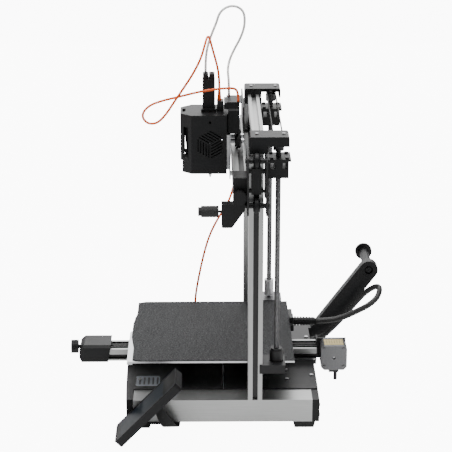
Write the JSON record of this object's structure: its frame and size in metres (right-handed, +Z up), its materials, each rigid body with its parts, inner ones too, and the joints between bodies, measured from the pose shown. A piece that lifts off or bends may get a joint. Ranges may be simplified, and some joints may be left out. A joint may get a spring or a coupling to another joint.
{
  "type": "fdm printer",
  "caption": "Desktop filament 3D printer: bed sliding on a beam, two lead screws lifting a gantry, print head on the gantry, tilted touch screen.",
  "frame": {"origin": "on the table, at the middle of the machine's plan, under its feet", "axes": "+X to the right seen from the front, +Y to the back, +Z up"},
  "size_m": [0.4807, 0.5196, 0.6336],
  "materials": {
    "silver": "satin anodised aluminium",
    "black_sheet": "black powder coat",
    "black_plastic": "fine-grained black plastic",
    "rubber": "black rubber",
    "board": "circuit board and folded steel",
    "motor_grey": "grey cast and stacked steel",
    "belt": "toothed rubber belt",
    "glass": "glossy dark touch glass",
    "steel": "plain steel",
    "pulley": "turned aluminium",
    "bed_plate": "bright rolled aluminium",
    "sheet": "rough textured coat on spring steel",
    "orange": "orange sleeve",
    "white_tube": "white slippery tube",
    "cable_black": "black jacket"
  },
  "bodies": {
    "frame": {"rail_left": "silver", "rail_right": "silver", "base_cover": "black_sheet", "base_pan": "black_sheet", "front_fascia": "black_plastic", "rear_panel": "black_plastic", "feet": "rubber", "electronics": "board", "y_beam": "silver", "y_motor": "motor_grey", "y_motor_bracket": "black_sheet", "y_tensioner": "black_plastic", "y_belt": "belt", "upright_left": "silver", "upright_right": "silver", "top_beam": "silver", "top_caps": "black_plastic", "sync_belt": "belt", "z_motor": "motor_grey", "z_bracket": "black_sheet", "spool_arm": "black_plastic", "spool_rod": "black_plastic", "screen_case": "black_plastic", "screen_glass": "glass", "frame_screws": "steel"},
    "rocker": {"power_rocker": "black_plastic"},
    "bed_knob": {"y_knob": "black_plastic"},
    "left_screw": {"screw_left": "steel"},
    "right_screw": {"screw_right": "steel"},
    "bed_pulley": {"y_pulley": "pulley"},
    "bed": {"bed_carriage": "black_sheet", "bed_bearings": "black_plastic", "heated_bed": "bed_plate", "build_sheet": "sheet", "bed_strip": "bed_plate", "cable_clamp": "black_plastic", "bed_cable": "cable_black"},
    "gantry": {"x_beam": "silver", "plates_left": "black_sheet", "plates_right": "black_sheet", "x_motor": "motor_grey", "x_tensioner": "black_plastic", "x_belt": "belt", "wiper_arm": "black_plastic", "nut_blocks": "black_plastic", "lift_wheels": "black_plastic", "side_cable": "orange"},
    "beam_knob": {"x_knob": "black_plastic"},
    "beam_pulley": {"x_pulley": "pulley"},
    "roller": {"wiper_roller": "rubber"},
    "head": {"head_plate": "black_sheet", "head_wheels": "black_plastic", "hood": "black_plastic", "feeder": "black_plastic", "hotend": "silver", "inlet_block": "black_plastic", "cable_plug": "orange", "head_cable": "orange", "feed_tube": "white_tube"},
    "fan": {"head_fan": "black_plastic"}
  },
  "joints": [
    {"name": "bed_slide", "type": "slide", "parent": "frame", "child": "bed", "axis": [0, 1, 0], "range_m": [-0.1, 0.1], "deforming": ["bed_cable"]},
    {"name": "gantry_lift", "type": "slide", "parent": "frame", "child": "gantry", "axis": [0, 0, 1], "range_m": [-0.262, 0.004], "deforming": ["side_cable"]},
    {"name": "head_slide", "type": "slide", "parent": "gantry", "child": "head", "axis": [1, 0, 0], "range_m": [-0.112, 0.112]},
    {"name": "left_screw_spin", "type": "hinge", "parent": "frame", "child": "left_screw", "pos_m": [-0.152, 0.0765, 0.3], "axis": [0, 0, 1], "range_deg": [-11793, 183]},
    {"name": "right_screw_spin", "type": "hinge", "parent": "frame", "child": "right_screw", "pos_m": [0.152, 0.0765, 0.3], "axis": [0, 0, 1], "range_deg": [-11793, 183]},
    {"name": "bed_pulley_spin", "type": "hinge", "parent": "frame", "child": "bed_pulley", "pos_m": [0, 0.1756, 0.0645], "axis": [1, 0, 0], "range_deg": [-903, 903]},
    {"name": "beam_pulley_spin", "type": "hinge", "parent": "gantry", "child": "beam_pulley", "pos_m": [-0.2186, 0.0128, 0.3913], "axis": [0, 1, 0], "range_deg": [-1011, 1011]},
    {"name": "fan_spin", "type": "hinge", "parent": "head", "child": "fan", "pos_m": [0.0275, -0.025, 0.4223], "axis": [1, 0, 0], "continuous": true},
    {"name": "roller_spin", "type": "hinge", "parent": "gantry", "child": "roller", "pos_m": [0.146, -0.026, 0.349], "axis": [0, 1, 0], "continuous": true},
    {"name": "bed_knob_turn", "type": "hinge", "parent": "frame", "child": "bed_knob", "pos_m": [0, -0.248, 0.0686], "axis": [0, 1, 0], "continuous": true},
    {"name": "beam_knob_turn", "type": "hinge", "parent": "gantry", "child": "beam_knob", "pos_m": [0.187, 0.0183, 0.384], "axis": [1, 0, 0], "continuous": true},
    {"name": "rocker_tip", "type": "hinge", "parent": "frame", "child": "rocker", "pos_m": [0.064, 0.1392, 0.031], "axis": [1, 0, 0], "range_deg": [-9, 0]}
  ],
  "couplings": [
    {"joint": "left_screw_spin", "follows": "gantry_lift", "rad_per_m": 785.4},
    {"joint": "right_screw_spin", "follows": "gantry_lift", "rad_per_m": 785.4},
    {"joint": "bed_pulley_spin", "follows": "bed_slide", "rad_per_m": -157.08},
    {"joint": "beam_pulley_spin", "follows": "head_slide", "rad_per_m": 157.08}
  ]
}
